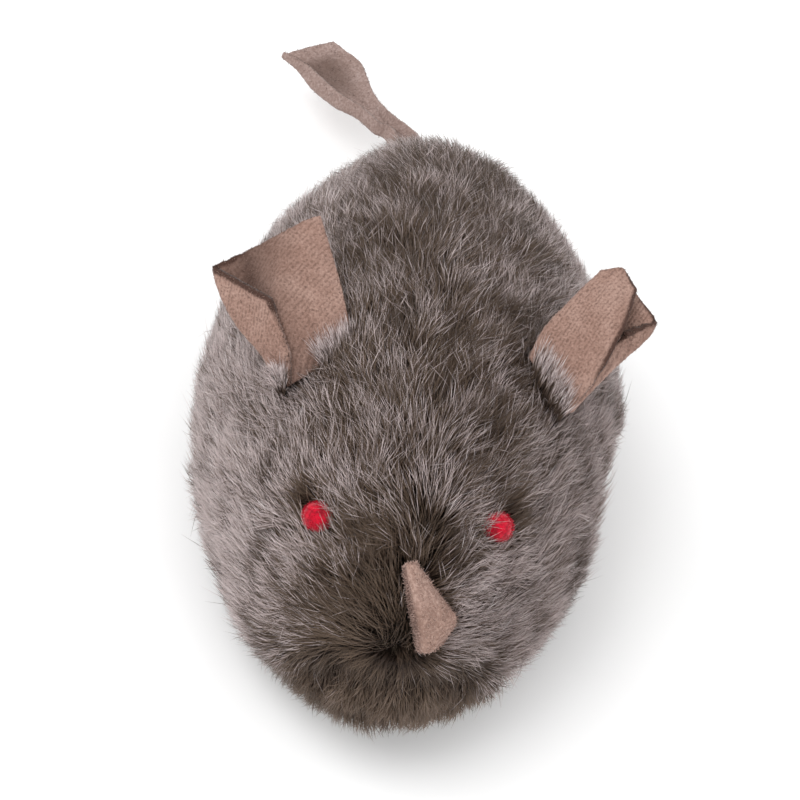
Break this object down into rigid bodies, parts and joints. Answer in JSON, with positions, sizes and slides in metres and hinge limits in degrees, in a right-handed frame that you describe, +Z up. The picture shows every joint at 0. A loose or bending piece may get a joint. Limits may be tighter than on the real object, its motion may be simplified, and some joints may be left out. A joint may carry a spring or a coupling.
{
  "type": "clockwork mouse",
  "caption": "Wind-up plush mouse: furry domed body, suede ears and tail, spring motor geared to two rear wheels, front roller, side knob.",
  "frame": {"origin": "on the floor under the middle of the body, where the wheels stand at z 0", "axes": "+Z up, nose toward -Y and tail toward +Y, the mouse's left side and its winding knob toward +X"},
  "size_m": [0.0584, 0.123, 0.0493],
  "materials": {
    "plush_back": "long pile plush, silver tips over olive brown roots",
    "plush_chin": "long pile plush, brown",
    "wadding": "loose polyester wadding",
    "ear_suede": "ribbed suede cloth, dusty rose brown",
    "tail_suede": "ribbed suede cloth, mauve brown",
    "nose_suede": "soft suede cloth, dusty pink",
    "eye_felt": "matted red felt",
    "base_plastic": "moulded, fine grain",
    "case_plastic": "moulded, satin",
    "gear_plastic": "moulded acetal, satin",
    "brass": "stamped, satin",
    "spring_steel": "blued strip",
    "steel": "drawn rod and plated screws",
    "wheel_plastic": "moulded, semi gloss",
    "tyre_rubber": "matt black rubber",
    "knob_plastic": "moulded ivory, semi gloss"
  },
  "bodies": {
    "mouse": {"base_plate": "base_plastic", "motor_case": "case_plastic", "motor_cover": "case_plastic", "motor_screws": "steel", "base_screws": "steel", "mainspring": "spring_steel", "pallet_pin": "steel", "front_axle": "steel", "fur_cover_left": "plush_back", "fur_cover_right": "plush_back", "chin_panel": "plush_chin", "stuffing": "wadding", "ear_left": "ear_suede", "ear_right": "ear_suede", "tail": "tail_suede", "nose": "nose_suede", "eye_left": "eye_felt", "eye_right": "eye_felt"},
    "rear_wheels": {"drive_axle": "steel", "drive_pinion": "gear_plastic", "drive_wheel_left": "wheel_plastic", "drive_wheel_right": "wheel_plastic", "tyre_left": "tyre_rubber", "tyre_right": "tyre_rubber"},
    "winder": {"winding_arbor": "steel", "great_wheel": "brass", "winding_knob": "knob_plastic"},
    "second": {"second_wheel": "gear_plastic", "second_arbor": "steel"},
    "escape": {"escape_wheel": "gear_plastic", "escape_arbor": "steel"},
    "rocker": {"pallet": "brass"},
    "front_roller": {"front_wheel": "wheel_plastic"}
  },
  "joints": [
    {"name": "rear_wheels_turn", "type": "hinge", "parent": "mouse", "child": "rear_wheels", "pos_m": [0, 0.014, 0.0085], "axis": [1, 0, 0], "range_deg": [-25920, 0]},
    {"name": "knob_winds", "type": "hinge", "parent": "mouse", "child": "winder", "pos_m": [0, -0.0055, 0.01751], "axis": [1, 0, 0], "range_deg": [-1800, 0], "deforming": ["mainspring"]},
    {"name": "second_turn", "type": "hinge", "parent": "mouse", "child": "second", "pos_m": [0, 0.007, 0.01762], "axis": [1, 0, 0], "range_deg": [0, 7200]},
    {"name": "escape_turn", "type": "hinge", "parent": "mouse", "child": "escape", "pos_m": [0, 0.01728, 0.0222], "axis": [1, 0, 0], "range_deg": [-28800.01, 0]},
    {"name": "pallet_rocks", "type": "hinge", "parent": "mouse", "child": "rocker", "pos_m": [0, 0.01465, 0.02869], "axis": [1, 0, 0], "range_deg": [-5, 5]},
    {"name": "front_roller_turn", "type": "hinge", "parent": "mouse", "child": "front_roller", "pos_m": [0, -0.024, 0.0045], "axis": [1, 0, 0], "continuous": true}
  ],
  "couplings": [
    {"joint": "knob_winds", "follows": "rear_wheels_turn", "ratio": 0.069444},
    {"joint": "second_turn", "follows": "rear_wheels_turn", "ratio": -0.27778},
    {"joint": "escape_turn", "follows": "rear_wheels_turn", "ratio": 1.1111}
  ]
}
